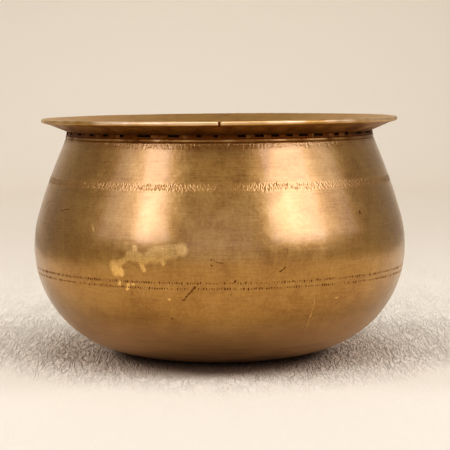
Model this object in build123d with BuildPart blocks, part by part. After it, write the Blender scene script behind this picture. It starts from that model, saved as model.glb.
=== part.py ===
"""Round-bellied brass cooking and water bowl with a wide flared lip, in millimetres.

The wall is two beaten shells whose edges are cut into square teeth and hard-soldered together
below the belly. A flanged collar drops into the neck, and a second toothed seam holds it there.
+Z is up, the origin is the centre of the flat that the bowl stands on, and Z is the turning axis.
"""

from build123d import *

import math
import os

# Wall: one smooth profile of tangent arcs, each given by its radius and the slope it ends at,
# counted from level (0 is the base, 90 the belly's widest ring, over 90 leans inwards).
WALL = 2.0
BASE_FLAT_R = 70.5
WALL_ARCS = [(114.0, 29.0), (101.0, 90.0), (110.0, 106.0), (490.0, 112.3)]

# Neck: a plain turned band above the shoulder, with one groove at its foot and one across it.
NECK_R = 146.0
NECK_BORE_R = 143.8
NECK_FOOT_Z = 205.4
NECK_TOP_Z = 211.8
NECK_BAND_LIFT = 0.3
NECK_GROOVE_Z = (205.7, 208.6)

# Turned lines: shallow grooves round the outside of the wall.
GROOVE_R = 0.6
GROOVE_DEPTH = 0.3
SHOULDER_BAND_Z = (163.0, 171.2)
BASE_LINE_SLOPES = (7.0, 10.0, 13.0)

# Belly seam: square teeth of the lower shell stand up between those of the upper one.
BELLY_TEETH = 80
BELLY_SEAM_LOW_Z = 79.7
BELLY_SEAM_HIGH_Z = 84.8
BELLY_TOOTH_WIDTH = 6.6
BELLY_SOLDER = 0.3
TOOTH_REACH = 20.0

# Neck seam: slots in the neck's top edge, which the solder only half fills.
NECK_SLOTS = 64
NECK_SLOT_WIDTH = 6.2
NECK_SLOT_HEIGHT = 1.9
NECK_PLUG_DEPTH = 1.2
NECK_SOLDER = 0.3

# Collar: a skirt inside the neck and a lip that flares outwards from it, thickened at its edge.
SKIRT = 1.8
SKIRT_FOOT_Z = 207.6
MOUTH_ROUND_R = 8.0
LIP_R = 170.0
LIP_THICKNESS = 3.0
LIP_SLOPE = 22.5
LIP_SWELL = 1.2
LIP_SWELL_WIDTH = 7.0
LIP_EDGE_ROUND = 0.9


def wall_line(depth):
    """Draws the wall's profile, depth inside its outer face, and returns its last arc."""
    Line((0, depth), (BASE_FLAT_R, depth))
    start = Vector(BASE_FLAT_R, depth)
    slope = 0.0
    for radius, end_slope in WALL_ARCS:
        tangent = (math.cos(math.radians(slope)), math.sin(math.radians(slope)))
        arc = JernArc(start, tangent, radius - depth, end_slope - slope)
        start = arc @ 1
        slope = end_slope
    return arc


def run_to_height(arc, height):
    """Draws the straight run on from an arc's end up to a height."""
    start = arc @ 1
    along = arc % 1
    return Line(start, start + along * ((height - start.Y) / along.Y))


def run_to_radius(arc, radius):
    """Draws the straight run on from an arc's end in to a radius."""
    start = arc @ 1
    along = arc % 1
    return Line(start, start + along * ((radius - start.X) / along.X))


def arc_centre(arc_number):
    """The centre of one of the outer face's arcs, as radius and height."""
    r, z = BASE_FLAT_R, WALL_ARCS[0][0]
    for (radius, end_slope), (next_radius, _) in zip(WALL_ARCS[:arc_number], WALL_ARCS[1:]):
        turn = math.radians(end_slope)
        r += (radius - next_radius) * math.sin(turn)
        z -= (radius - next_radius) * math.cos(turn)
    return r, z


def off_the_wall(arc_number, slope):
    """A groove cutter's centre, just outside one of the wall's arcs where it has a slope."""
    r, z = arc_centre(arc_number)
    reach = WALL_ARCS[arc_number][0] + GROOVE_R - GROOVE_DEPTH
    turn = math.radians(slope)
    return r + reach * math.sin(turn), z - reach * math.cos(turn)


def groove_centres():
    """The centres of every turned groove's cutter: base, shoulder and neck."""
    places = [off_the_wall(0, slope) for slope in BASE_LINE_SLOPES]
    shoulder = len(WALL_ARCS) - 1
    for height in SHOULDER_BAND_Z:
        drop = (arc_centre(shoulder)[1] - height) / WALL_ARCS[shoulder][0]
        places.append(off_the_wall(shoulder, math.degrees(math.acos(drop))))
    for height in NECK_GROOVE_Z:
        share = (height - band_foot.Y) / (NECK_TOP_Z - band_foot.Y)
        places.append((band_foot.X + share * (NECK_R - band_foot.X), height))
    return places


# The whole wall in one piece, from which both shells are cut.
with BuildPart() as wall:
    with BuildSketch(Plane.XZ):
        with BuildLine():
            outer_run = run_to_height(wall_line(0), NECK_FOOT_Z)
            band_foot = outer_run @ 1 + Vector(NECK_BAND_LIFT, NECK_BAND_LIFT)
            inner_run = run_to_radius(wall_line(WALL), NECK_BORE_R)
            Polyline(
                outer_run @ 1,
                band_foot,
                (NECK_R, NECK_TOP_Z),
                (NECK_BORE_R, NECK_TOP_Z),
                inner_run @ 1,
            )
            Line((0, 0), (0, WALL))
        make_face()
    revolve(axis=Axis.Z)
    with BuildSketch(Plane.XZ):
        with Locations(*groove_centres()):
            Circle(GROOVE_R)
    revolve(axis=Axis.Z, mode=Mode.SUBTRACT)


def below_belly_seam(solder):
    """Everything below the toothed seam line, grown by the solder's thickness."""
    with BuildPart() as below:
        with BuildSketch():
            Circle(LIP_R + TOOTH_REACH)
        extrude(amount=BELLY_SEAM_LOW_Z + solder)
        with BuildSketch():
            with PolarLocations(LIP_R, BELLY_TEETH):
                Rectangle(2 * TOOTH_REACH, BELLY_TOOTH_WIDTH + 2 * solder)
        extrude(amount=BELLY_SEAM_HIGH_Z + solder)
    return below.part


def neck_slots():
    """The slots' space, through the neck's wall from its top edge down."""
    with BuildPart() as slots:
        with BuildSketch(Plane.XY.offset(NECK_TOP_Z)):
            with PolarLocations(NECK_R, NECK_SLOTS):
                Rectangle(2 * TOOTH_REACH, NECK_SLOT_WIDTH)
        extrude(amount=-NECK_SLOT_HEIGHT)
    return slots.part


below_seam = below_belly_seam(0)
below_solder = below_belly_seam(BELLY_SOLDER)
slot_space = neck_slots()

# Lower shell: the base, the rounded bottom and the seam's upright teeth.
with BuildPart() as lower_bowl:
    add(wall.part)
    add(below_seam, mode=Mode.INTERSECT)

# Upper shell: the belly, the shoulder and the slotted neck.
with BuildPart() as shoulder_shell:
    add(wall.part)
    add(below_solder, mode=Mode.SUBTRACT)
    add(slot_space, mode=Mode.SUBTRACT)

# Hard solder between the two shells' teeth, as deep as the wall.
with BuildPart() as belly_seam_spelter:
    add(wall.part)
    add(below_solder, mode=Mode.INTERSECT)
    add(below_seam, mode=Mode.SUBTRACT)

# Hard solder under the lip: a plug at the back of each slot, and a thin ring on the neck's edge.
with BuildPart() as neck_seam_spelter:
    with BuildSketch(Plane.XY.offset(NECK_TOP_Z)):
        Circle(NECK_BORE_R + NECK_PLUG_DEPTH)
        Circle(NECK_BORE_R, mode=Mode.SUBTRACT)
    extrude(amount=-NECK_SLOT_HEIGHT)
    add(slot_space, mode=Mode.INTERSECT)
    with BuildSketch(Plane.XY.offset(NECK_TOP_Z)):
        Circle(NECK_R - NECK_SOLDER)
        Circle(NECK_BORE_R, mode=Mode.SUBTRACT)
    extrude(amount=NECK_SOLDER)

# Collar: skirt, rounded mouth and flared lip, turned as one ring.
lip_along = Vector(1, math.tan(math.radians(LIP_SLOPE)))
lip_rise = Vector(0, LIP_THICKNESS / math.cos(math.radians(LIP_SLOPE)))
lip_root = Vector(NECK_R, NECK_TOP_Z + NECK_SOLDER)
lip_tip = lip_root + lip_along * (LIP_R - NECK_R)
lip_edge_foot = lip_tip - Vector(0, LIP_SWELL)
mouth_r = NECK_BORE_R - SKIRT
mouth_corner = lip_root + lip_along * (mouth_r - NECK_R) + lip_rise

with BuildPart() as rim_collar:
    with BuildSketch(Plane.XZ) as collar_section:
        with BuildLine():
            Polyline(
                (mouth_r, SKIRT_FOOT_Z),
                (NECK_BORE_R, SKIRT_FOOT_Z),
                (NECK_BORE_R, lip_root.Y),
                lip_root,
                lip_tip - lip_along * LIP_SWELL_WIDTH,
                lip_edge_foot,
                lip_tip + lip_rise,
                mouth_corner,
                close=True,
            )
        make_face()
        fillet(collar_section.vertices().sort_by(Axis.X)[-2:], LIP_EDGE_ROUND)
        inside_corners = collar_section.vertices().group_by(Axis.X)[0]
        fillet(inside_corners.sort_by(Axis.Y)[-1], MOUTH_ROUND_R)
    revolve(axis=Axis.Z)

PIECES = {
    "lower_bowl": lower_bowl,
    "shoulder_shell": shoulder_shell,
    "belly_seam_spelter": belly_seam_spelter,
    "neck_seam_spelter": neck_seam_spelter,
    "rim_collar": rim_collar,
}

os.makedirs("parts", exist_ok=True)
for name, piece in PIECES.items():
    piece.part.label = name
    export_step(piece.part, f"parts/{name}.step")
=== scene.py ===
"""Looks for the round-bellied brass bowl: beaten shells, toothed solder seams and a turned lip.

Lengths are in metres and angles in degrees. Angle 0 is the front of the bowl, towards -Y, and
angles grow towards +X. The skins are rings of points round the axis, pushed along their normals.
"""

import math

import bpy
import numpy as np
from mathutils import Matrix, Vector


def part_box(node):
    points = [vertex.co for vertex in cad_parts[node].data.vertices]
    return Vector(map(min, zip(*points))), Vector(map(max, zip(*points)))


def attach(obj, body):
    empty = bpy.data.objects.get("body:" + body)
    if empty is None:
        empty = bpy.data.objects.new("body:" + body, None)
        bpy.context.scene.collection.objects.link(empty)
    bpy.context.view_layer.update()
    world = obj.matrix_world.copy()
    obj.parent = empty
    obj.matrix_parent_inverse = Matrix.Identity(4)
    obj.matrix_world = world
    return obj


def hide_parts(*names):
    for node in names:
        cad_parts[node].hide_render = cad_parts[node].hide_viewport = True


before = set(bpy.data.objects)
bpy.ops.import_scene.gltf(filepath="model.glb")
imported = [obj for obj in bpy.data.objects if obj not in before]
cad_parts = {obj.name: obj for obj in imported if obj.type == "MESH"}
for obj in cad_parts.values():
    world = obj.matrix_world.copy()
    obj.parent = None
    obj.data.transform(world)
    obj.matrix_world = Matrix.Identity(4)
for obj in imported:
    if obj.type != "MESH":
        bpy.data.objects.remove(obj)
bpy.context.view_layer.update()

MM = 0.001

# The wall's section, as in the CAD part: tangent arcs by radius and end slope.
WALL = 2 * MM
BASE_FLAT_R = 70.5 * MM
WALL_ARCS = [(114 * MM, 29.0), (101 * MM, 90.0), (110 * MM, 106.0), (490 * MM, 112.3)]
NECK_FOOT_Z = 205.4 * MM
NECK_BAND_LIFT = 0.3 * MM
NECK_GROOVES = (205.7 * MM, 208.6 * MM)
BASE_LINE_SLOPES = (7.0, 10.0, 13.0)
SHOULDER_BAND_Z = (163 * MM, 171.2 * MM)

# Seams, as in the CAD part, at the heights where its nodes have them.
BELLY_TEETH = 80
BELLY_SOLDER = 0.3 * MM
BELLY_TOOTH_WIDTH = 6.6 * MM
NECK_SOLDER = 0.3 * MM
seam_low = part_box("belly_seam_spelter")[0].z
seam_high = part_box("lower_bowl")[1].z
neck_slot_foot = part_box("neck_seam_spelter")[0].z
neck_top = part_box("shoulder_shell")[1].z

# The neck and the collar, as in the CAD part, with the lip's edge rounded more by wear.
NECK_R = 146 * MM
NECK_BORE_R = 143.8 * MM
SKIRT = 1.8 * MM
MOUTH_ROUND_R = 8 * MM
LIP_THICKNESS = 3 * MM
LIP_SLOPE = 22.5
LIP_SWELL = 1.2 * MM
LIP_SWELL_WIDTH = 7 * MM
LIP_UNDER_ROUND = 1.3 * MM
LIP_TOP_ROUND = 1.6 * MM
LIP_TILT = 0.5 * MM
lip_tip_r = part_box("rim_collar")[1].x
skirt_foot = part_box("rim_collar")[0].z

# Sections are sampled this finely, so that a normal turns only close to its corner.
LONGEST_STEP = 0.4 * MM

# Columns of points round the bowl: each coarser level keeps every other column of the last.
COLUMNS_PER_TOOTH = 24
FINEST = BELLY_TEETH * COLUMNS_PER_TOOTH


# ---- noise

def lattice(cells, seed):
    """A fixed random number from 0 to 1 for each whole-number cell."""
    x, y, z = (cells[..., i].astype(np.int64) for i in range(3))
    n = (x * 73856093) ^ (y * 19349663) ^ (z * 83492791) ^ (seed * 2654435761)
    n = (n & 0xFFFFFFFF).astype(np.uint64)
    for _ in range(2):
        n = ((n ^ (n >> np.uint64(16))) * np.uint64(0x45D9F3B)) & np.uint64(0xFFFFFFFF)
    return ((n ^ (n >> np.uint64(16))) & np.uint64(0xFFFFFF)).astype(float) / 0xFFFFFF


def noise(points, size, seed):
    """Smooth noise from -1 to 1 whose bumps are about size across."""
    q = points / size
    cell = np.floor(q)
    part = q - cell
    part = part * part * (3 - 2 * part)
    total = 0
    for corner in np.ndindex(2, 2, 2):
        weight = np.prod(np.where(corner, part, 1 - part), axis=-1)
        total = total + weight * lattice(cell + np.array(corner), seed)
    return 2 * total - 1


def facets(points, size, seed):
    """Hammer marks: 0 at the middle of each mark, rising to about 1 where marks meet."""
    q = points / size
    cell = np.floor(q)
    nearest = np.full(points.shape[:-1], 9.0)
    for step in np.ndindex(3, 3, 3):
        there = cell + np.array(step) - 1
        middle = there + np.stack([lattice(there, seed + i) for i in range(3)], axis=-1)
        nearest = np.minimum(nearest, ((q - middle) ** 2).sum(-1))
    return np.minimum(nearest / 0.5, 1.5)


# ---- sections

class Section:
    """A line in section, as radius and height, measured by the length along it."""

    def __init__(self, corners):
        points = [corners[0]]
        for start, end in zip(corners, corners[1:]):
            count = max(1, math.ceil(math.dist(start, end) / LONGEST_STEP))
            points += [tuple(p) for p in np.linspace(start, end, count + 1)[1:]]
        self.points = np.array(points)
        steps = np.diff(self.points, axis=0)
        self.length = np.concatenate([[0], np.cumsum(np.hypot(steps[:, 0], steps[:, 1]))])
        slope = np.unwrap(np.arctan2(steps[:, 1], steps[:, 0]))
        middle = (slope[1:] + slope[:-1]) / 2
        self.slope = np.concatenate([slope[:1], middle, slope[-1:]])

    def at(self, length):
        """Radius, height, and the radius and height parts of the normal."""
        r = np.interp(length, self.length, self.points[:, 0])
        z = np.interp(length, self.length, self.points[:, 1])
        slope = np.interp(length, self.length, self.slope)
        return r, z, np.sin(slope), -np.cos(slope)

    def at_height(self, z):
        """The length at which the line, which only climbs, reaches a height."""
        return float(np.interp(z, self.points[:, 1], self.length))


def arc_points(start, slope, radius, end_slope, step=0.5):
    """Points along an arc from start, which goes by slope and turns towards end_slope."""
    count = max(2, math.ceil(abs(end_slope - slope) / step))
    turns = np.radians(np.linspace(slope, end_slope, count + 1))
    r = start[0] + radius * (np.sin(turns) - np.sin(turns[0]))
    z = start[1] - radius * (np.cos(turns) - np.cos(turns[0]))
    return list(zip(r, z))[1:]


def wall_points(depth):
    """The wall's line from the axis to the end of its last arc, depth inside the outer face."""
    points = [(0.0, depth), (BASE_FLAT_R, depth)]
    slope = 0.0
    for radius, end_slope in WALL_ARCS:
        points += arc_points(points[-1], slope, radius - depth, end_slope)
        slope = end_slope
    return points


def outer_section():
    """The outer face, base to neck top."""
    points = wall_points(0)
    r, z = points[-1]
    lean = 1 / math.tan(math.radians(WALL_ARCS[-1][1]))
    foot = (r + (NECK_FOOT_Z - z) * lean, NECK_FOOT_Z)
    band = (foot[0] + NECK_BAND_LIFT, foot[1] + NECK_BAND_LIFT)
    return Section(points + [foot, band, (NECK_R, neck_top)])


def inner_section():
    """The inner face, base to neck top."""
    points = wall_points(WALL)
    r, z = points[-1]
    lean = math.tan(math.radians(WALL_ARCS[-1][1]))
    bore_foot = (NECK_BORE_R, z + (NECK_BORE_R - r) * lean)
    return Section(points + [bore_foot, (NECK_BORE_R, neck_top)])


OUTER = outer_section()
INNER = inner_section()


def column_angles():
    """The finest columns' angles: each belly tooth, its solder, the gap's tooth, its solder."""
    seam_r = float(OUTER.at(OUTER.at_height(seam_low))[0])
    half = math.asin(BELLY_TOOTH_WIDTH / 2 / seam_r)
    solder = BELLY_SOLDER / seam_r
    pitch = 2 * math.pi / BELLY_TEETH
    each = COLUMNS_PER_TOOTH // 2
    tooth = np.linspace(-half, half, each)
    between = np.linspace(half + solder, pitch - half - solder, each)
    one = np.concatenate([tooth, between])
    starts = np.arange(BELLY_TEETH) * pitch - math.pi
    return (starts[:, None] + one[None, :]).ravel()


ANGLES = column_angles()


# ---- rings and faces

def spread(start, end, step, level):
    """Evenly spaced rows from start up to, but not at, end: each a length and a column level."""
    count = max(1, round((end - start) / step))
    return [(start + (end - start) * i / count, level) for i in range(count)]


def refine(rows, lines, reach=0.9 * MM, step=0.3 * MM):
    """The rows, with closer ones across each turned line. Every row keeps its neighbours' level."""
    lengths = np.array([row[0] for row in rows])
    for line in lines:
        level = rows[int(np.abs(lengths - line).argmin())][1]
        rows = [row for row in rows if abs(row[0] - line) > reach + step / 2]
        offsets = np.arange(-reach, reach + step / 2, step)
        rows += [(line + offset, level) for offset in offsets]
        rows.sort()
        lengths = np.array([row[0] for row in rows])
    return rows


def ring_fields(section, rows):
    """Each ring's points in one array: angle, length, radius, height and the normal's parts."""
    parts = []
    for length, level in rows:
        angles = ANGLES[:: 2**level]
        fields = [angles] + [np.full(len(angles), v) for v in (length, *section.at(length))]
        parts.append(np.stack(fields, axis=1))
    return np.concatenate(parts)


def place(fields, push):
    """Points in space, each pushed out along its normal."""
    angle, _, r, z, normal_r, normal_z = fields.T
    r = r + normal_r * push
    z = z + normal_z * push
    return np.stack([r * np.sin(angle), -r * np.cos(angle), z], axis=1)


def ring_starts(rows, first=0):
    """The number of each ring's first point."""
    sizes = [FINEST >> level for _, level in rows]
    return first + np.concatenate([[0], np.cumsum(sizes)])[:-1]


def strip(low, low_level, high, high_level):
    """Faces from one ring up to the next. Where one is finer, each face takes several of its edges."""
    low_count, high_count = FINEST >> low_level, FINEST >> high_level
    count = min(low_count, high_count)
    j = np.arange(count)
    low_each, high_each = low_count // count, high_count // count
    low_side = [low + (j * low_each + i) % low_count for i in range(low_each + 1)]
    high_side = [high + (j * high_each + i) % high_count for i in range(high_each, -1, -1)]
    return np.stack(low_side + high_side, axis=1)


def skin_faces(rows, starts, inward=False, keep=None):
    """All the faces of a skin. keep(i) says which columns of the i-th strip are there."""
    groups = []
    for i in range(len(rows) - 1):
        faces = strip(starts[i], rows[i][1], starts[i + 1], rows[i + 1][1])
        if keep is not None and keep(i) is not None:
            faces = faces[keep(i)]
        groups.append(faces[:, ::-1] if inward else faces)
    return groups


def open_edges(groups, count):
    """The edges that only one face has, in that face's direction."""
    edges = np.concatenate([
        np.stack([faces[:, i], faces[:, (i + 1) % faces.shape[1]]], axis=1)
        for faces in groups
        for i in range(faces.shape[1])
    ])
    there = edges[:, 0] * count + edges[:, 1]
    back = edges[:, 1] * count + edges[:, 0]
    return edges[~np.isin(there, back)]


def make_mesh(name, points, groups, grime_and_shade, sharp=38.0):
    """A mesh object from points and groups of faces, without any point that no face uses."""
    used, corners = np.unique(np.concatenate([g.ravel() for g in groups]), return_inverse=True)
    sizes = np.concatenate([np.full(len(g), g.shape[1]) for g in groups])
    mesh = bpy.data.meshes.new(name)
    mesh.vertices.add(len(used))
    mesh.vertices.foreach_set("co", points[used].astype(np.float32).ravel())
    mesh.loops.add(len(corners))
    mesh.loops.foreach_set("vertex_index", corners.astype(np.int32).ravel())
    mesh.polygons.add(len(sizes))
    mesh.polygons.foreach_set("loop_start", (np.cumsum(sizes) - sizes).astype(np.int32))
    mesh.polygons.foreach_set("loop_total", sizes.astype(np.int32))
    mesh.polygons.foreach_set("use_smooth", np.ones(len(sizes), bool))
    mesh.update(calc_edges=True)
    mesh.set_sharp_from_angle(angle=math.radians(sharp))
    layer = mesh.attributes.new("grime_and_shade", "FLOAT", "POINT")
    layer.data.foreach_set("value", grime_and_shade[used].astype(np.float32))
    piece = bpy.data.objects.new(name, mesh)
    bpy.context.scene.collection.objects.link(piece)
    return piece


class Skin:
    """One side of a shell: its section, its rows of points, its look and which faces are there.

    look(fields, points) gives each point's push along its normal and its grime and painted shade:
    0 is clean, 1 is soiled or in painted shade, over 1.1 is painted shade near black in a recess,
    and below 0 is rubbed bright, on the lip's edge partly as a painted highlight.
    keep(i) says which columns of the i-th strip are there, or None for all.
    """

    def __init__(self, section, rows, look, keep=None):
        self.rows = rows
        self.keep = keep
        self.fields = ring_fields(section, rows)
        push, self.grime_and_shade = look(self.fields, place(self.fields, 0))
        self.points = place(self.fields, push)
        self.points[:, 2] = np.maximum(self.points[:, 2], 0)


def make_shell(name, outer, inner, pairs, capped=False):
    """A closed piece of two skins. Wherever the outer one ends, a wall joins it to the inner one.

    pairs lists the (outer row, inner row) numbers between which such walls may run.
    """
    outer_starts = ring_starts(outer.rows)
    inner_starts = ring_starts(inner.rows, len(outer.points))
    count = len(outer.points) + len(inner.points)
    groups = skin_faces(outer.rows, outer_starts, keep=outer.keep)
    match = np.full(count, -1)
    for outer_row, inner_row in pairs:
        ring = np.arange(FINEST >> outer.rows[outer_row][1])
        match[outer_starts[outer_row] + ring] = inner_starts[inner_row] + ring
    ends = open_edges(groups, count)
    ends = ends[(match[ends] >= 0).all(axis=1)]
    walls = [ends[:, 1], ends[:, 0], match[ends[:, 0]], match[ends[:, 1]]]
    groups.append(np.stack(walls, axis=1))
    groups += skin_faces(inner.rows, inner_starts, inward=True, keep=inner.keep)
    if capped:
        outer_ring = np.arange(FINEST >> outer.rows[0][1])
        inner_ring = np.arange(FINEST >> inner.rows[0][1]) + inner_starts[0]
        groups += [outer_ring[::-1][None, :], inner_ring[None, :]]
    points = np.concatenate([outer.points, inner.points])
    return make_mesh(name, points, groups, np.concatenate([outer.grime_and_shade, inner.grime_and_shade]))


def make_ring(name, skin):
    """A closed piece whose section is one loop."""
    starts = ring_starts(skin.rows)
    groups = skin_faces(skin.rows, starts)
    groups.append(strip(starts[-1], skin.rows[-1][1], starts[0], skin.rows[0][1]))
    return make_mesh(name, skin.points, groups, skin.grime_and_shade)


# ---- relief

def rising(value, start, reach):
    """0 up to start, then climbing to 1 over reach."""
    return np.clip((value - start) / reach, 0, 1)


def dip(offset, half_width, depth):
    """A round-bottomed groove's push."""
    return -depth * np.clip(1 - (offset / half_width) ** 2, 0, None)


def shiver(index, seed, low=0.0, high=1.0):
    """A fixed random number for each whole number."""
    cells = np.stack([index, np.zeros_like(index), np.zeros_like(index)], axis=-1)
    return low + (high - low) * lattice(cells, seed)


def beaten(points):
    """How far the hammered wall stands out of true."""
    push = 0.45 * MM * noise(points, 110 * MM, 1)
    push += 0.13 * MM * noise(points, 38 * MM, 2)
    push += 0.045 * MM * noise(points, 15 * MM, 3)
    return push + 0.05 * MM * (facets(points, 13 * MM, 4) - 0.5)


def base_lines():
    """The lengths at which the base's turned lines lie."""
    return [BASE_FLAT_R + WALL_ARCS[0][0] * math.radians(slope) for slope in BASE_LINE_SLOPES]


def turned_lines(length, z):
    """Shallow grooves round the base and beside the chased band, and deeper ones at the neck."""
    push = sum(dip(length - line, 0.52 * MM, 0.22 * MM) for line in base_lines())
    lines = [OUTER.at_height(height) for height in SHOULDER_BAND_Z]
    push += sum(dip(length - line, 0.45 * MM, 0.06 * MM) for line in lines)
    return push + sum(dip(z - height, 0.6 * MM, 0.3 * MM) for height in NECK_GROOVES)


# Radii that turn an angle into a length along the chased band and along the rows of ticks.
CHASED_R = 162 * MM
TICKS_R = 175 * MM


def chased_row(along, across, pitch, seed):
    """A row of chisel strokes, leaning one way and then the other, no two quite alike."""
    index = np.round(along / pitch)
    aside = along - index * pitch - shiver(index, seed, -0.3, 0.3) * pitch
    up = across - shiver(index, seed + 1, -0.5, 0.5) * MM
    lean = np.where(index % 2 > 0, 1, -1) * shiver(index, seed + 2, 0.05, 0.6)
    half_height = shiver(index, seed + 3, 1.6, 3.0) * MM
    gap = np.abs(aside - lean * up) / np.hypot(1, lean)
    ends = np.clip(1.5 - np.abs(up) / half_height * 1.3, 0, 1)
    depth = shiver(index, seed + 4, 0.14, 0.34) * MM
    return -depth * ends * np.clip(1 - (gap / (0.5 * MM)) ** 2, 0, None)


def chased_band(angle, length, points):
    """Two overlapping rows of hand-cut strokes, between the shoulder's turned lines."""
    low, high = (OUTER.at_height(height) for height in SHOULDER_BAND_Z)
    across = length - (low + high) / 2
    along = angle * CHASED_R
    drift = 0.7 * MM * noise(points, 30 * MM, 11)
    first = chased_row(along, across - 1.3 * MM - drift, 2.1 * MM, 111)
    second = chased_row(along, across + 1.5 * MM - drift, 1.9 * MM, 121)
    strength = np.clip(0.95 + 0.4 * noise(points, 22 * MM, 12), 0.55, 1.2)
    return np.minimum(first, second) * strength


def ticks(angle, length, height, pitch, seed, half_width, half_height, depth):
    """A row of punched ticks round the bowl, each a little out of place and out of line."""
    across = length - OUTER.at_height(height)
    along = angle * TICKS_R
    index = np.round(along / pitch)
    aside = along - index * pitch - shiver(index, seed, -0.2, 0.2) * pitch
    up = across - shiver(index, seed + 1, -0.35, 0.35) * MM
    aside = aside - up * shiver(index, seed + 2, -0.35, 0.35)
    size = shiver(index, seed + 3, 0.7, 1.15)
    spread_out = (aside / (half_width * size)) ** 2 + (up / (half_height * size)) ** 2
    strength = np.clip(shiver(index, seed + 4, 0.25, 1.3), 0, 1)
    return -depth * strength * np.clip(1 - spread_out, 0, None)


# The neck's slots: angle and width. Those at the front are placed one by one, the rest by the loop.
FRONT_SLOTS = [
    (-78, 4), (-70.5, 2.6), (-61, 2.2), (-52.3, 2.4), (-44.4, 2.6), (-36.2, 1.8),
    (-26.9, 5.4), (-15.7, 4), (-6.9, 1.6), (-1, 1.4), (7.9, 2.9), (14, 3.2), (19.8, 2.9),
    (25.2, 2.8), (30.8, 3.6), (37.4, 4), (46.4, 2.4), (52.3, 2), (61.5, 4.6), (72, 7),
    (82, 3),
]
BACK_SLOT_PITCH = 360 / 64


def neck_slots():
    """Every slot's angle and width, right round."""
    slots = list(FRONT_SLOTS)
    angle = 90.0
    chance = np.random.default_rng(5)
    while angle < 270 - BACK_SLOT_PITCH:
        slots.append((angle + chance.uniform(-0.6, 0.6), chance.uniform(1.6, 4.4)))
        angle += BACK_SLOT_PITCH
    return slots


def slot_columns():
    """Which of the finest columns are in a slot."""
    middle = np.degrees(ANGLES + np.append(ANGLES[1:], ANGLES[0] + 2 * math.pi)) / 2
    inside = np.zeros(FINEST, bool)
    for angle, width in neck_slots():
        away = (middle - angle + 180) % 360 - 180
        inside |= np.abs(away) < width / 2
    return inside


IN_SLOT = slot_columns()


def slot_shadow(angle):
    """Painted shade in line with each slot: 1 inside its width, fading just beside it."""
    dirt_and_shade = np.zeros_like(angle)
    for middle, width in neck_slots():
        away = (np.degrees(angle) - middle + 180) % 360 - 180
        dirt_and_shade = np.maximum(dirt_and_shade, np.clip((width / 2 + 0.5 - np.abs(away)) / 0.5, 0, 1))
    return dirt_and_shade


def seam_ticks(angle, length):
    """The rows of punched ticks along the belly seam's lower and upper edges."""
    push = np.zeros(len(length))
    for height, seed in ((seam_low + 0.2 * MM, 21), (seam_high + 0.2 * MM, 31)):
        push += ticks(angle, length, height, 2.3 * MM, seed, 0.8 * MM, 1.5 * MM, 0.5 * MM)
    return push


def neck_shade_and_soil(angle, z, points):
    """Painted shade, with some soil, in the corner under the neck and on its teeth, and painted shade
    in line with its slots.
    """
    corner = rising(z, 201 * MM, 4 * MM) * (0.5 + 0.35 * noise(points, 9 * MM, 13))
    below_slots = rising(z, 207.6 * MM, 0.6 * MM) * slot_shadow(angle)
    on_teeth = rising(z, 207.2 * MM, 1 * MM) * (0.85 + 0.2 * noise(points, 5 * MM, 15))
    return np.maximum(corner, np.maximum(below_slots, on_teeth))


def outer_look(fields, points):
    """The outside: hammering, turned lines, the chased band, and the seam's and neck's ticks."""
    angle, length, _, z = fields[:, :4].T
    chased = chased_band(angle, length, points)
    cuts = turned_lines(length, z)
    punched = seam_ticks(angle, length)
    brushed = ticks(angle, length, 202 * MM, 3.3 * MM, 41, 0.8 * MM, 3.4 * MM, 0.26 * MM)
    beads = -ticks(angle, length, 204 * MM, 1.9 * MM, 45, 0.7 * MM, 0.6 * MM, 0.16 * MM)
    grime_and_shade = np.clip(-cuts / (0.32 * MM) - chased / (0.6 * MM) - punched / (0.4 * MM), 0, 1)
    # Painted shade under the neck and in line with its slots, with some soil in the corner.
    grime_and_shade = np.maximum(grime_and_shade, neck_shade_and_soil(angle, z, points)) - beads / (0.08 * MM)
    push = beads + beaten(points) * rising(z, 1 * MM, 6 * MM)
    return push + cuts + punched + chased + brushed, grime_and_shade


def inner_look(fields, points):
    """The inside: hammering only, and darker towards its floor."""
    z = fields[:, 3]
    push = beaten(points) * rising(z, 4 * MM, 6 * MM)
    grime_and_shade = np.clip(0.35 - z / (120 * MM) + 0.2 * noise(points, 30 * MM, 14), 0, 1)
    return push, grime_and_shade


# ---- the wall's three pieces

def at_heights(section, heights, level):
    """Rows at given heights."""
    return [(section.at_height(z), level) for z in heights]


TOOTH_ROWS = 10
SLOT_ROWS = 4
seam_heights = [seam_low, *np.linspace(seam_low + BELLY_SOLDER, seam_high, TOOTH_ROWS + 1)]
seam_heights.append(seam_high + BELLY_SOLDER)
slot_heights = np.linspace(neck_slot_foot, neck_top, SLOT_ROWS + 1)

# Which of the finest columns belong to the lower shell's teeth and to the upper shell's.
column = np.arange(FINEST) % COLUMNS_PER_TOOTH
LOWER_TEETH = column < COLUMNS_PER_TOOTH // 2 - 1
UPPER_TEETH = (column >= COLUMNS_PER_TOOTH // 2) & (column < COLUMNS_PER_TOOTH - 1)

# Rows near the base's centre, each a radius and a column level, coarser towards the centre.
CENTRE_ROWS = [(3 * MM, 6), (9 * MM, 5), (18 * MM, 4), (30 * MM, 3), (42 * MM, 3), (54 * MM, 2)]

# The shoulder's outer rows from the seam up: each stretch's top and row spacing, in millimetres,
# and its column level.
SHOULDER_STRETCHES = [
    (86.6, 0.45, 0), (90, 1.4, 1), (160, 2.3, 2), (162.2, 1.1, 1), (172, 0.43, 0),
    (174.5, 1.2, 1), (198.5, 2.2, 2), (203.2, 0.7, 1), (204.8, 0.27, 0),
]


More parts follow.
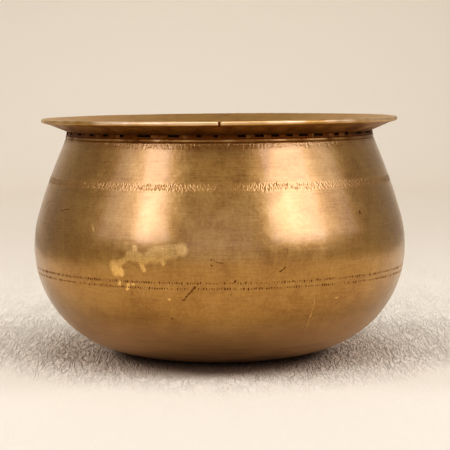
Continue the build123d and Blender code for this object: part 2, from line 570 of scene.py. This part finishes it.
def build_lower_bowl():
    """The base and rounded bottom, up to the tops of the seam's upright teeth."""
    near_seam = OUTER.at_height(78.4 * MM)
    seam = OUTER.at_height(seam_low)
    rows = CENTRE_ROWS + spread(62 * MM, near_seam - 3 * MM, 2.4 * MM, 2)
    rows = refine(rows, base_lines())
    rows += spread(near_seam - 3 * MM, near_seam, 1.5 * MM, 1)
    rows += spread(near_seam, seam, 0.45 * MM, 0)
    seam_row = len(rows)
    rows += at_heights(OUTER, seam_heights[:-1], 0)
    inner_end = INNER.at_height(seam_low)
    inner = CENTRE_ROWS + spread(62 * MM, inner_end - 6 * MM, 3.4 * MM, 2)
    inner += [(inner_end - 4 * MM, 1), (inner_end - 2 * MM, 1)]
    inner_seam_row = len(inner)
    inner += at_heights(INNER, seam_heights[:-1], 0)
    pairs = [(seam_row + i, inner_seam_row + i) for i in range(TOOTH_ROWS + 2)]
    outer_skin = Skin(OUTER, rows, outer_look, lambda i: LOWER_TEETH if i >= seam_row else None)
    inner_skin = Skin(INNER, inner, inner_look, lambda i: LOWER_TEETH if i >= inner_seam_row else None)
    return make_shell("beaten_lower_bowl", outer_skin, inner_skin, pairs, capped=True)


def shoulder_outer_rows():
    """The shoulder shell's outer rows from its teeth up to the foot of the slots."""
    rows = at_heights(OUTER, seam_heights[1:], 0)
    start = rows.pop()[0]
    for top, step, level in SHOULDER_STRETCHES:
        end = OUTER.at_height(top * MM)
        rows += spread(start, end, step * MM, level)
        start = end
    return rows + spread(start, OUTER.at_height(neck_slot_foot), 0.3 * MM, 1)


def shoulder_inner_rows():
    """The shoulder shell's inner rows from its teeth up to the foot of the slots."""
    rows = at_heights(INNER, seam_heights[1:], 0)
    teeth_end = rows[-1][0]
    rows += [(teeth_end + 1.5 * MM, 1), (teeth_end + 3.5 * MM, 2)]
    bend = INNER.at_height(203 * MM)
    rows += spread(INNER.at_height(91 * MM), bend, 3.6 * MM, 2)
    return rows + spread(bend, INNER.at_height(neck_slot_foot), 2.2 * MM, 1)


def build_shoulder_shell():
    """The belly, shoulder and neck, from the seam's hanging teeth to the slotted top edge."""
    rows = shoulder_outer_rows()
    inner = shoulder_inner_rows()
    seam_end = len(seam_heights) - 2
    slot_row = len(rows)
    inner_slot_row = len(inner)
    rows += at_heights(OUTER, slot_heights, 0)
    inner += at_heights(INNER, slot_heights, 0)
    pairs = [(i, i) for i in range(seam_end + 1)]
    pairs += [(slot_row + i, inner_slot_row + i) for i in range(SLOT_ROWS + 1)]

    def kept_after(slots_from):
        def keep(i):
            if i < seam_end:
                return UPPER_TEETH
            return ~IN_SLOT if i >= slots_from else None
        return keep

    outer_skin = Skin(OUTER, rows, outer_look, kept_after(slot_row))
    inner_skin = Skin(INNER, inner, inner_look, kept_after(inner_slot_row))
    return make_shell("beaten_shoulder_shell", outer_skin, inner_skin, pairs)


def build_belly_solder():
    """The thin solder between the two shells' teeth, filed flush."""

    def keep(i):
        if i == 0:
            return ~LOWER_TEETH
        return ~UPPER_TEETH if i == TOOTH_ROWS + 1 else ~(LOWER_TEETH | UPPER_TEETH)

    outer_skin = Skin(OUTER, at_heights(OUTER, seam_heights, 0), outer_look, keep)
    inner_skin = Skin(INNER, at_heights(INNER, seam_heights, 0), inner_look, keep)
    pairs = [(i, i) for i in range(TOOTH_ROWS + 3)]
    return make_shell("belly_seam_solder", outer_skin, inner_skin, pairs)


def build_neck_solder():
    """The solder under the lip: sunk and rough in the slots."""
    heights = [*slot_heights, neck_top + NECK_SOLDER]
    section = Section([(NECK_R, heights[0]), (NECK_R, heights[-1])])
    bore = Section([(NECK_BORE_R, heights[0]), (NECK_BORE_R, heights[-1])])

    def look(fields, points):
        # Painted shade: the sunk solder in the slots is darkened near to black.
        sunk = rising(-fields[:, 3], -neck_top - NECK_SOLDER, 0.8 * MM)
        rough = noise(points, 4 * MM, 51) + 0.5 * noise(points, 1.5 * MM, 52)
        push = -0.25 * MM - sunk * 0.95 * MM + 0.18 * MM * rough
        return push, np.clip(0.4 + 1.4 * sunk + 0.15 * rough, 0, 1.8)

    def plain(fields, points):
        return np.zeros(len(fields)), np.ones(len(fields))

    def keep(i):
        return IN_SLOT if i < SLOT_ROWS else None

    rows = at_heights(section, heights, 0)
    pairs = [(i, i) for i in range(len(rows))]
    outer_skin = Skin(section, rows, look, keep)
    inner_skin = Skin(bore, rows, plain, keep)
    return make_shell("neck_seam_solder", outer_skin, inner_skin, pairs)


# ---- collar

def rounded(corners, step=18.0):
    """An outline's points, from corners given as a point and a rounding radius."""
    points = []
    for i, (corner, radius) in enumerate(corners):
        corner = Vector(corner)
        back = (Vector(corners[i - 1][0]) - corner).normalized()
        on = (Vector(corners[(i + 1) % len(corners)][0]) - corner).normalized()
        if not radius:
            points.append(tuple(corner))
            continue
        half = back.angle(on) / 2
        centre = corner + (back + on).normalized() * (radius / math.sin(half))
        first = corner + back * (radius / math.tan(half)) - centre
        turn = first.angle_signed(corner + on * (radius / math.tan(half)) - centre)
        count = max(2, math.ceil(abs(math.degrees(turn)) / step))
        for k in range(count + 1):
            spin = Matrix.Rotation(-turn * k / count, 2)
            points.append(tuple(centre + spin @ first))
    return points


def collar_outline():
    """The collar's section: skirt, corner under the lip, lip and rounded mouth."""
    rise = math.tan(math.radians(LIP_SLOPE))
    up = LIP_THICKNESS / math.cos(math.radians(LIP_SLOPE))
    root_z = neck_top + NECK_SOLDER
    mouth_r = NECK_BORE_R - SKIRT
    tip_z = root_z + (lip_tip_r - NECK_R) * rise
    return rounded([
        ((mouth_r, skirt_foot), 0.3 * MM),
        ((NECK_BORE_R, skirt_foot), 0.3 * MM),
        ((NECK_BORE_R, root_z), 0),
        ((NECK_R, root_z), 0),
        ((lip_tip_r - LIP_SWELL_WIDTH, tip_z - LIP_SWELL_WIDTH * rise), 0),
        ((lip_tip_r, tip_z - LIP_SWELL), LIP_UNDER_ROUND),
        ((lip_tip_r, tip_z + up), LIP_TOP_ROUND),
        ((mouth_r, root_z + up - (NECK_R - mouth_r) * rise), MOUTH_ROUND_R),
    ])


# The nick in the lip's edge: its angle, half width and depth.
NICK_ANGLE = 0.2
NICK_WIDTH = 1.3 * MM
NICK_DEPTH = 0.9 * MM


def collar_look(fields, points):
    """The lip: slightly wavy, worn and lighter at its edge, partly as a painted highlight, with
    painted shade underneath towards the neck and in its nick.
    """
    angle, _, r, _, _, normal_z = fields.T
    out = rising(r, NECK_R, lip_tip_r - NECK_R)
    push = out * (0.16 * MM * noise(points, 60 * MM, 61) + 0.05 * MM * noise(points, 12 * MM, 62))
    edge = rising(r, lip_tip_r - 3 * MM, 2 * MM)
    push += edge * 0.1 * MM * (noise(points, 5 * MM, 63) - 0.5)
    beside = (angle - math.radians(NICK_ANGLE)) * r / NICK_WIDTH
    push -= edge * NICK_DEPTH * np.exp(-beside**2) * (normal_z > -0.3)
    # Painted shade under the lip and at its root, over a little soil.
    under = np.clip(-normal_z * 3, 0, 1) * np.clip(1.15 - out * 0.6, 0, 1)
    grime_and_shade = np.clip(under * 0.6 + 0.1 + 0.2 * noise(points, 9 * MM, 64), 0, 1)
    grime_and_shade = np.where(r < NECK_R + 0.3 * MM, np.maximum(grime_and_shade, 0.5), grime_and_shade)
    # The edge's top and sides made lighter: wear, and partly a painted highlight.
    worn_and_highlit = rising(r, lip_tip_r - 2.5 * MM, 1.5 * MM) * (normal_z > -0.6)
    grime_and_shade -= worn_and_highlit * (0.5 + 0.3 * noise(points, 20 * MM, 66))
    # Painted shade in the nick, near black.
    split = edge * 1.8 * np.exp(-2 * beside**2)
    return push, np.where(split > 0.2, split, grime_and_shade)


def build_collar():
    """The flanged collar, whose lip isn't quite level."""
    outline = collar_outline()
    section = Section(outline + outline[:1])
    rows = [(length, 1) for length in section.length[:-1:2]]
    skin = Skin(section, rows, collar_look)
    r = np.hypot(skin.points[:, 0], skin.points[:, 1])
    out = rising(r, NECK_R, lip_tip_r - NECK_R)
    wave = 0.3 * MM * noise(skin.points, 85 * MM, 65)
    skin.points[:, 2] += out * (LIP_TILT * skin.points[:, 0] / lip_tip_r + wave)
    return make_ring("turned_lip_collar", skin)


# ---- materials

class Nodes:
    """Short ways to add and wire the nodes of one node tree."""

    def __init__(self, tree):
        self.tree = tree

    def feed(self, node, inputs):
        """Gives a node's inputs values or wires."""
        for name, value in inputs.items():
            if isinstance(value, bpy.types.NodeSocket):
                self.tree.links.new(value, node.inputs[name])
            else:
                node.inputs[name].default_value = value

    def add(self, kind, inputs=None, **settings):
        """A new node with its settings and inputs."""
        made = self.tree.nodes.new("ShaderNode" + kind)
        for name, value in settings.items():
            setattr(made, name, value)
        self.feed(made, inputs or {})
        return made

    def math(self, operation, a, b=0.0, clamp=False):
        """One sum on one or two values."""
        return self.add("Math", {0: a, 1: b}, operation=operation, use_clamp=clamp).outputs[0]

    def times(self, a, b):
        """The product of two values."""
        return self.math("MULTIPLY", a, b)

    def total(self, *parts):
        """The sum of (value, weight) pairs."""
        values = [self.times(value, weight) for value, weight in parts]
        result = values[0]
        for value in values[1:]:
            result = self.math("ADD", result, value)
        return result

    def noise(self, where, size, detail=2.0, stretch=(1, 1, 1), warp=0.0):
        """Noise around 0.5, with bumps about size across, stretched along each axis."""
        squeezed = self.add("Mapping", {"Vector": where, "Scale": [1 / (size * s) for s in stretch]})
        inputs = {"Vector": squeezed.outputs[0], "Scale": 1.0, "Detail": detail, "Distortion": warp}
        return self.add("TexNoise", inputs).outputs["Fac"]

    def between(self, value, low, high, bottom=0.0, top=1.0):
        """The value's place between low and high, as bottom to top."""
        inputs = {"Value": value, "From Min": low, "From Max": high, "To Min": bottom, "To Max": top}
        return self.add("MapRange", inputs).outputs[0]

    def height(self, place):
        """The upward part of a place or a direction."""
        return self.add("SeparateXYZ", {0: place}).outputs[2]

    def length(self, vector):
        """How long a vector is."""
        return self.add("VectorMath", {0: vector}, operation="LENGTH").outputs["Value"]

    def mix(self, factor, under, over):
        """The colour under, with the colour over laid on it as far as the factor says."""
        return self.add("Mix", {0: factor, 6: under, 7: (*over, 1)}, data_type="RGBA").outputs[2]

    def bump(self, relief, distance):
        """The normal of a surface with this relief, whose unit is distance."""
        return self.add("Bump", {"Height": relief, "Distance": distance}).outputs[0]

    def ramp(self, factor, stops):
        """The factor turned into a colour by (position, colour) stops."""
        ramp = self.add("ValToRGB", {"Fac": factor})
        elements = ramp.color_ramp.elements
        while len(elements) < len(stops):
            elements.new(0.5)
        for element, (position, colour) in zip(elements, stops):
            element.position = position
            element.color = (*colour, 1)
        return ramp.outputs[0]


def new_material(name):
    """An empty material, its node tree, and its shader."""
    material = bpy.data.materials.new(name)
    material.use_nodes = True
    return material, material.node_tree, material.node_tree.nodes["Principled BSDF"]


# Marks on the wall unrolled at this radius: each is a stroke's angle and height, its end's angle
# and height, and its half width, in degrees and millimetres. Shorter ones than DOT_SPAN are dots.
UNROLL_R = 165 * MM
DOT_SPAN = 1.4 * MM
GOLD_SMEARS = [
    (-31.5, 99, -30.6, 93, 4), (-29.2, 95, -29, 91.5, 2.6),
    (-29.5, 101, -26, 107.5, 3), (-25.9, 107.8, -21.5, 105, 4.4),
    (-22.4, 102, -21.9, 95.5, 1.9), (-24.5, 115.5, -24.6, 111.5, 2),
    (-19.4, 108.5, -14.2, 111.5, 6), (-14, 111.5, -10.6, 114, 5.2),
    (-16.1, 105.5, -15.8, 102, 1.7), (-27, 82.5, -27.5, 78, 1.3),
    (-29.5, 85, -30.4, 81.5, 1.1), (-25.6, 83.2, -25.3, 82.6, 1.2),
]
BRIGHT_MARKS = [
    (-40.5, 132, -39.5, 127, 0.7), (13.9, 194.5, 14.1, 195, 0.6),
    (37, 66.8, 37.6, 66.8, 0.6), (27.9, 40.5, 28.3, 41, 0.6),
    (-14.9, 70, -14.4, 70.4, 0.6), (29.1, 67, 29.5, 38, 0.25),
]
DARK_MARKS = [
    (47, 141.2, 47.4, 141.8, 1.5), (-2.2, 105, -2, 105.2, 1),
    (-2.5, 100.8, -2.3, 101, 0.8), (-1.4, 104.2, 1.1, 103.2, 0.3),
    (-10.5, 70.2, -7.4, 80, 0.5), (-7.3, 80.2, -6.9, 81.2, 1.2),
    (17.3, 94.2, 19.1, 98.2, 0.45), (4.2, 86.5, 4.4, 86.8, 0.9),
    (3.3, 75, 3.5, 75.2, 0.8), (-26.1, 74, -25.9, 74.3, 0.8),
    (-14.9, 52.2, -14.6, 52.6, 0.8), (-57.2, 143, -53, 144, 0.35),
]
BACK_MARKS = 26
MM_PER_DEGREE = 2.9

# Colours laid over the brass.
CHASED_TINT = (0.66, 0.34, 0.09)
FRESH_GOLD = (0.82, 0.5, 0.16)
# Painted light for the downward-facing foot.
FOOT_PAINTED_LIGHT = (0.86, 0.54, 0.26)
DRAG_BROWN = (0.24, 0.12, 0.045)
# Wear, and on the lip's edge partly a painted highlight.
RUBBED_AND_HIGHLIT_BRASS = (0.9, 0.66, 0.38)
# Soil, and painted shade under the lip and in the corner under the neck.
SOIL_AND_SHADE = (0.12, 0.035, 0.004)
# Painted shade, near black, in the neck's slots and the nick in the lip.
PAINTED_RECESS_SHADE = (0.012, 0.007, 0.004)


def back_marks():
    """Pits and scratches on the sides and back, scattered the same way each time."""
    chance = np.random.default_rng(8)
    marks = []
    for i in range(BACK_MARKS):
        angle = chance.uniform(62, 298)
        angle -= 360 if angle > 180 else 0
        z = chance.uniform(30, 190)
        long = 0.4 if i % 2 else chance.uniform(2, 12)
        turn = chance.uniform(0, math.pi)
        end = (angle + long * math.cos(turn) / MM_PER_DEGREE, z + long * math.sin(turn))
        marks.append((angle, z, *end, chance.uniform(0.35, 1.1) if i % 2 else 0.4))
    return marks


def stroke(nodes, point, mark):
    """How far a point is from a stroke, in half widths of it."""
    angle, z, end_angle, end_z, half_width = mark
    start = Vector((math.radians(angle) * UNROLL_R, z * MM, 0))
    along = Vector((math.radians(end_angle) * UNROLL_R, end_z * MM, 0)) - start
    ends = {0: point, 1: start + along / 2}
    if along.length >= DOT_SPAN:
        away = nodes.add("VectorMath", {0: point, 1: start}, operation="SUBTRACT").outputs[0]
        onto = {0: away, 1: along / along.length_squared}
        part = nodes.add("VectorMath", onto, operation="DOT_PRODUCT").outputs["Value"]
        part = nodes.math("ADD", part, 0.0, clamp=True)
        foot = nodes.add("VectorMath", {0: along, "Scale": part}, operation="SCALE").outputs[0]
        ends = {0: away, 1: foot}
    gap = nodes.add("VectorMath", ends, operation="DISTANCE").outputs["Value"]
    return nodes.math("DIVIDE", gap, half_width * MM)


def strokes(nodes, point, marks):
    """Where any of the strokes is, from 0 to 1."""
    nearest = stroke(nodes, point, marks[0])
    for mark in marks[1:]:
        nearest = nodes.math("MINIMUM", nearest, stroke(nodes, point, mark))
    return nodes.between(nearest, 1.35, 0.65)


def ragged_shift(nodes, place, fine, coarse):
    """A shift of up to about 3 mm either way, with fine and coarse bumps."""
    bumps = nodes.total((nodes.noise(place, fine), 2.8 * MM), (nodes.noise(place, coarse), 3 * MM))
    return nodes.math("SUBTRACT", bumps, 2.9 * MM)


def unrolled(nodes, place):
    """The wall laid flat: angle times a radius across, and height up, with a ragged shift."""
    parts = nodes.add("SeparateXYZ", {0: place}).outputs
    angle = nodes.math("ARCTAN2", parts[0], nodes.times(parts[1], -1.0))
    flat = nodes.times(angle, UNROLL_R)
    across = nodes.math("ADD", flat, ragged_shift(nodes, place, 1.5 * MM, 6 * MM))
    up = nodes.math("ADD", parts[2], ragged_shift(nodes, place, 1.8 * MM, 7 * MM))
    return nodes.add("CombineXYZ", {0: across, 1: up}).outputs[0]


class Brass(Nodes):
    """Old worked brass while it is being wired: its place, colour, roughness, relief, and dirt with
    painted shade.
    """

    def __init__(self, tree, tones, roughness):
        super().__init__(tree)
        self.dark = tones[0]
        self.place = self.add("TexCoord").outputs["Object"]
        self.dirt_and_shade = self.add("Attribute", attribute_name="grime_and_shade").outputs["Fac"]
        self.blotch = self.noise(self.place, 13 * MM, 3)
        self.speck = self.noise(self.place, 2.6 * MM, 3)
        self.patina(tones, roughness)

    def patina(self, tones, roughness):
        """Blotched tones, streaks and fine scratches round the bowl."""
        blotch, speck = self.blotch, self.speck
        cloud = self.noise(self.place, 45 * MM, 3)
        wipe = self.noise(self.place, 2.4 * MM, 2, (1, 1, 12))
        scratch = self.noise(self.place, 0.8 * MM, 2, (26, 26, 1))
        dimple = self.noise(self.place, 5 * MM, 2)
        tone = self.total((cloud, 0.7), (blotch, 0.6), (speck, 0.6), (wipe, 0.2), (scratch, 0.5))
        stops = list(zip((0.0, 0.5, 1.0), tones))
        self.colour = self.ramp(self.between(tone, 0.82, 1.7), stops)
        shine = self.total((blotch, 0.5), (speck, 0.3), (wipe, 0.4))
        self.rough = self.between(shine, 0.4, 0.8, *roughness)
        self.relief = self.total((speck, 0.04), (dimple, 0.07), (wipe, 0.004), (scratch, 0.024))

    def lay(self, factor, colour):
        """Lays a colour over the brass."""
        self.colour = self.mix(factor, self.colour, colour)

    def roughen(self, factor, amount):
        """Makes the brass rougher, or smoother where the amount is below 0."""
        self.rough = self.math("ADD", self.rough, self.times(factor, amount))

    def lathe_lines(self, depth):
        """Patches of fine dark lines left by the lathe, depth in millimetres."""
        rings = self.noise(self.place, 0.5 * MM, 1, (400, 400, 1))
        patches = self.between(self.noise(self.place, 32 * MM, 1), 0.52, 0.66)
        turned = self.times(rings, patches)
        self.relief = self.math("ADD", self.relief, self.times(turned, depth))
        self.lay(self.between(turned, 0.45, 0.8, 0.0, 0.5), self.dark)

    def marks(self):
        """The chased band's redder brass, the gold smears and the dark pits and scratches."""
        point = unrolled(self, self.place)
        from_band = self.math("SUBTRACT", self.height(self.place), sum(SHOULDER_BAND_Z) / 2)
        band = self.between(self.math("ABSOLUTE", from_band), 5 * MM, 3.4 * MM)
        self.lay(self.times(band, 0.2), CHASED_TINT)
        grain = self.total((self.blotch, 0.4), (self.speck, 0.6))
        gold = strokes(self, point, GOLD_SMEARS + BRIGHT_MARKS)
        gold = self.times(gold, self.between(grain, 0.32, 0.47, 0.6, 1.0))
        self.lay(gold, FRESH_GOLD)
        self.roughen(gold, -0.06)
        pits = strokes(self, point, DARK_MARKS + back_marks())
        self.dirt_and_shade = self.math("MAXIMUM", self.dirt_and_shade, self.times(pits, 0.8))

    def foot(self):
        """The dull, dragged underside, with painted light lifting its colour. Returns how far the
        brass is part of it.
        """
        facing = self.height(self.add("TexCoord").outputs["Normal"])
        low = self.between(self.height(self.place), 50 * MM, 8 * MM)
        foot = self.times(low, self.between(facing, 0.1, -0.1))
        self.roughen(foot, 0.3)
        # Painted light: the downward-facing foot's colour is made lighter.
        self.lay(self.times(foot, 0.8), FOOT_PAINTED_LIGHT)
        drag = self.between(self.noise(self.place, 0.7 * MM, 2, (60, 60, 1)), 0.48, 0.66)
        self.lay(self.times(drag, self.between(foot, 0.35, 0.95, 0.0, 0.55)), DRAG_BROWN)
        return foot

    def wear_and_shade(self):
        """Rubbed brass, partly a painted highlight; soil and painted shade; painted shade near black
        in recesses; all where the mesh says. Returns how soiled or shaded it is.
        """
        # Rubbed brass: wear, and on the lip's edge partly a painted highlight.
        self.lay(self.between(self.dirt_and_shade, -0.1, -0.6, 0.0, 0.7), RUBBED_AND_HIGHLIT_BRASS)
        uneven = self.total((self.dirt_and_shade, 1.0), (self.math("SUBTRACT", self.speck, 0.5), 0.4))
        soil_and_shade = self.between(uneven, 0.15, 0.9)
        # Soil, and painted shade under the lip and the neck, where the mesh marks it.
        self.lay(soil_and_shade, SOIL_AND_SHADE)
        # Painted shade, near black, in recesses.
        self.lay(self.between(self.dirt_and_shade, 1.1, 1.6), PAINTED_RECESS_SHADE)
        self.roughen(soil_and_shade, 0.25)
        return soil_and_shade


def aged_brass(name, tones, roughness, coat, lines=0.0, marked=False):
    """Old worked brass. tones are its dark, middle and light colours, roughness its range.

    coat is how much varnish-like film it has where clean, and lines how deep lathe lines are, in mm.
    """
    material, tree, shader = new_material(name)
    brass = Brass(tree, tones, roughness)
    if lines:
        brass.lathe_lines(lines)
    if marked:
        brass.marks()
    foot = brass.foot()
    soil_and_shade = brass.wear_and_shade()
    brass.feed(shader, {
        "Base Color": brass.colour,
        "Roughness": brass.rough,
        "Metallic": brass.between(foot, 0.0, 1.0, 1.0, 0.7),
        "Coat Weight": brass.between(soil_and_shade, 0.1, 0.6, coat, 0.0),
        "Coat Roughness": 0.15,
        "Normal": brass.bump(brass.relief, 1 * MM),
    })
    return material


# The paper: its colour, the painted shade colour in its creases, and the creases' sizes and stretch
# from front to back.
PAPER_COLOUR = (0.86, 0.795, 0.71)
CREASE_SHADE_COLOUR = (0.22, 0.16, 0.11)
CREASE_SIZES = (12 * MM, 6 * MM)
CREASE_STRETCH = 1 / 0.22


def creases(nodes, place, size):
    """Wandering creases about size apart: 1 along each and 0 between them."""
    wavy = nodes.noise(place, size, 2, (1, CREASE_STRETCH, 1), warp=1.4)
    aside = nodes.math("ABSOLUTE", nodes.math("SUBTRACT", wavy, 0.5))
    return nodes.between(aside, 0.0, 0.07, 1.0, 0.0)


def crinkled_area(nodes, place, away):
    """How crinkled the paper is: 1 round the bowl, less towards the front, the back and the sides."""
    across, depth = nodes.add("SeparateXYZ", {0: place}).outputs[:2]
    bow = nodes.times(nodes.times(across, across), 3.0)
    from_front = nodes.between(nodes.math("SUBTRACT", depth, bow), -0.26, -0.16, 0.08, 1.0)
    area = nodes.times(nodes.between(depth, 0.9, 0.35), from_front)
    return nodes.times(area, nodes.between(away, 0.5, 0.2, 0.45, 1.0))


def painted_contact_shadow(nodes, place):
    """A painted contact shadow where the bowl's foot nears the paper, longer towards the front."""
    shift = {"Vector": place, "Location": (0, 0.02, 0), "Scale": (1, 0.8, 1)}
    reach = nodes.length(nodes.add("Mapping", shift).outputs[0])
    return nodes.between(reach, 0.125, 0.085, 0.0, 0.8)


def crinkled_paper(name):
    """Pale paper, crinkled round the bowl and smooth towards the front and the backdrop, with painted
    shade in its creases, stronger near the bowl, and a painted contact shadow.
    """
    material, tree, shader = new_material(name)
    nodes = Nodes(tree)
    place = nodes.add("TexCoord").outputs["Object"]
    away = nodes.length(place)
    area = crinkled_area(nodes, place, away)
    wide, narrow = (creases(nodes, place, size) for size in CREASE_SIZES)
    crease = nodes.times(nodes.total((wide, 0.6), (narrow, 0.5)), area)
    lumps = nodes.times(nodes.noise(place, 3.4 * MM, 3, (1, 6, 1)), area)
    patches = nodes.between(nodes.noise(place, 60 * MM, 2, (1, 4, 1)), 0.35, 0.6, 0.1, 0.42)
    # Painted shade in the creases, in patches and stronger near the bowl.
    darker = nodes.math("ADD", patches, nodes.between(away, 0.2, 0.12, 0.0, 0.5))
    shade = nodes.math("MULTIPLY", crease, darker, clamp=True)
    # Painted contact shadow under the bowl's foot.
    shade = nodes.math("MAXIMUM", shade, painted_contact_shadow(nodes, place))
    nodes.feed(shader, {
        "Base Color": nodes.mix(shade, (*PAPER_COLOUR, 1), CREASE_SHADE_COLOUR),
        "Roughness": 0.85,
        "Specular IOR Level": 0.2,
        "Normal": nodes.bump(nodes.total((crease, -1.2), (lumps, 1.6)), 1.2 * MM),
    })
    return material


# The dark, middle and light tones of the shells, the collar and the solder.
BODY_TONES = ((0.275, 0.128, 0.029), (0.42, 0.222, 0.054), (0.54, 0.32, 0.09))
COLLAR_TONES = ((0.38, 0.19, 0.042), (0.47, 0.255, 0.058), (0.56, 0.33, 0.09))
SPELTER_TONES = ((0.38, 0.19, 0.06), (0.47, 0.25, 0.085), (0.6, 0.36, 0.14))


def dress(piece, node, material):
    """Gives a piece its material, hangs it from the root body and hides the CAD node that it stands
    for.
    """
    piece.data.materials.append(material)
    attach(piece, "root")
    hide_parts(node)


def build_bowl():
    """All five pieces."""
    body = aged_brass("body_brass", BODY_TONES, (0.27, 0.36), 0.5, lines=0.05, marked=True)
    collar = aged_brass("collar_brass", COLLAR_TONES, (0.34, 0.44), 0.1)
    solder = aged_brass("spelter", SPELTER_TONES, (0.24, 0.4), 0.2)
    dress(build_lower_bowl(), "lower_bowl", body)
    dress(build_shoulder_shell(), "shoulder_shell", body)
    dress(build_belly_solder(), "belly_seam_spelter", solder)
    dress(build_neck_solder(), "neck_seam_spelter", solder)
    dress(build_collar(), "rim_collar", collar)


# ---- studio

# The paper sweep: its front end, its back, the top of the backdrop, and the curve between them.
FLOOR_FRONT = -3.4
WALL_BACK = 2.9
WALL_TOP = 2.6
SWEEP_R = 0.5
FLOOR_SIDES = (-0.7, 0.9)
WALL_SIDES = (-2.8, 1.6)

# The lights' powers in watts, the room's strength and colour, the softboxes' colour, and where
# the floor lights are.
CEILING_POWER = 28
BACKDROP_POWER = 36
FLOOR_POWER = 9
ROOM_LIGHT = 0.42
ROOM_COLOUR = (1.0, 0.91, 0.79)
COOL_WHITE = (0.89, 0.985, 1.7)
FLOOR_LIGHT_DISTANCE = 1.5
FLOOR_LIGHT_HEIGHT = 0.8
FLOOR_LIGHT_SIZE = (0.5, 0.5)

# The camera: its place, lens, tip below level, roll and exposure.
CAMERA_PLACE = (0.005, -1.6265, 0.26)
CAMERA_LENS = 135.5
CAMERA_TIP = 4.90
CAMERA_ROLL = -0.34
EXPOSURE = -0.2


def build_stage():
    """The paper floor, and the sweep that curves up behind it as the backdrop."""
    turns = np.radians(np.linspace(0, 90, 13))
    curve_start = WALL_BACK - SWEEP_R
    curve = [(curve_start + SWEEP_R * math.sin(t), SWEEP_R * (1 - math.cos(t))) for t in turns]
    line = [(FLOOR_FRONT, 0.0), *curve, (WALL_BACK, WALL_TOP)]
    sides = [FLOOR_SIDES] + [WALL_SIDES] * (len(line) - 1)
    mesh = bpy.data.meshes.new("paper_sweep")
    points = [(x, y, z) for (y, z), ends in zip(line, sides) for x in ends]
    points += [(x, line[1][0], 0.0) for x in FLOOR_SIDES]
    faces = [(2 * i, 2 * i + 1, 2 * i + 3, 2 * i + 2) for i in range(1, len(line) - 1)]
    faces.insert(0, (0, 1, len(points) - 1, 3, 2, len(points) - 2))
    mesh.from_pydata(points, [], faces)
    mesh.polygons.foreach_set("use_smooth", [True] * len(faces))
    mesh.materials.append(crinkled_paper("pale_paper"))
    sweep = bpy.data.objects.new("paper_sweep", mesh)
    bpy.context.scene.collection.objects.link(sweep)


def area_light(name, size, power, place, turn, unseen=()):
    """A soft rectangular light that neither the camera nor the kinds of ray in unseen can see."""
    light = bpy.data.lights.new(name, "AREA")
    light.shape = "RECTANGLE"
    light.size, light.size_y = size
    light.energy = power
    lamp = bpy.data.objects.new(name, light)
    lamp.location = place
    lamp.rotation_euler = turn
    for ray in ("camera", *unseen):
        setattr(lamp, "visible_" + ray, False)
    bpy.context.scene.collection.objects.link(lamp)
    return light


def softbox(name, azimuth, distance, bottom, top, width, brightness, lean=0.0):
    """A soft light seen only in the brass, azimuth degrees to the right of the camera.

    Its top leans by lean degrees to the right.
    """
    turn = math.radians(azimuth)
    height = top - bottom
    place = Vector((distance * math.sin(turn), -distance * math.cos(turn), (bottom + top) / 2))
    aim = Vector((0, 0, place.z)) - place
    tilt = Matrix.Rotation(math.radians(-lean), 3, "Z")
    facing = (aim.to_track_quat("-Z", "Y").to_matrix() @ tilt).to_euler()
    power = brightness * math.pi * width * height
    area_light(name, (width, height), power, place, facing, ["diffuse"]).color = COOL_WHITE


def floor_light(name, azimuth):
    """A soft light to one side that reaches the paper under the belly and isn't seen in the brass."""
    turn = math.radians(azimuth)
    place = Vector((math.sin(turn), -math.cos(turn), 0)) * FLOOR_LIGHT_DISTANCE
    place.z = FLOOR_LIGHT_HEIGHT
    facing = (-place).to_track_quat("-Z", "Y").to_euler()
    area_light(name, FLOOR_LIGHT_SIZE, FLOOR_POWER, place, facing, ["glossy"])


def build_lights():
    """Softboxes either side of the camera with a fill between, floor and backdrop lights, a room."""
    softbox("left_softbox", -44, 1.2, 0.32, 1.3, 0.42, 3.0, lean=-16)
    softbox("left_spill", -58, 1.4, 0.36, 1.4, 1.0, 0.95)
    softbox("right_softbox", 48, 1.2, 0.32, 1.3, 0.72, 3.0, lean=3)
    softbox("right_spill", 66, 1.4, 0.36, 1.4, 1.2, 1.0)
    softbox("front_veil", 0, 2.2, 0.45, 1.3, 1.6, 0.5)
    softbox("front_fill", 2, 1.9, 0.0, 0.55, 1.6, 0.4)
    floor_light("left_floor_light", -95)
    floor_light("right_floor_light", 95)
    area_light("ceiling_light", (1.8, 1.6), CEILING_POWER, (0.1, -0.7, 2.3), (0, 0, 0))
    tipped_back = (math.radians(78), 0, 0)
    area_light("backdrop_light", (4.0, 0.5), BACKDROP_POWER, (-0.5, 1.3, 2.4), tipped_back)
    world = bpy.data.worlds.new("room")
    bpy.context.scene.world = world
    world.use_nodes = True
    background = world.node_tree.nodes["Background"]
    background.inputs["Color"].default_value = (*ROOM_COLOUR, 1)
    background.inputs["Strength"].default_value = ROOM_LIGHT


def build_camera():
    """The photograph's view: from just above the lip, 1.6 m away, with a long lens."""
    camera = bpy.data.cameras.new("camera")
    camera.sensor_width = 36
    camera.lens = CAMERA_LENS
    eye = bpy.data.objects.new("camera", camera)
    tip = Matrix.Rotation(math.radians(90 - CAMERA_TIP), 4, "X")
    roll = Matrix.Rotation(math.radians(CAMERA_ROLL), 4, "Z")
    eye.matrix_world = Matrix.Translation(CAMERA_PLACE) @ tip @ roll
    scene = bpy.context.scene
    scene.collection.objects.link(eye)
    scene.camera = eye
    scene.view_settings.view_transform = "Standard"
    scene.view_settings.look = "Medium High Contrast"
    scene.view_settings.exposure = EXPOSURE


build_bowl()
build_stage()
build_lights()
build_camera()
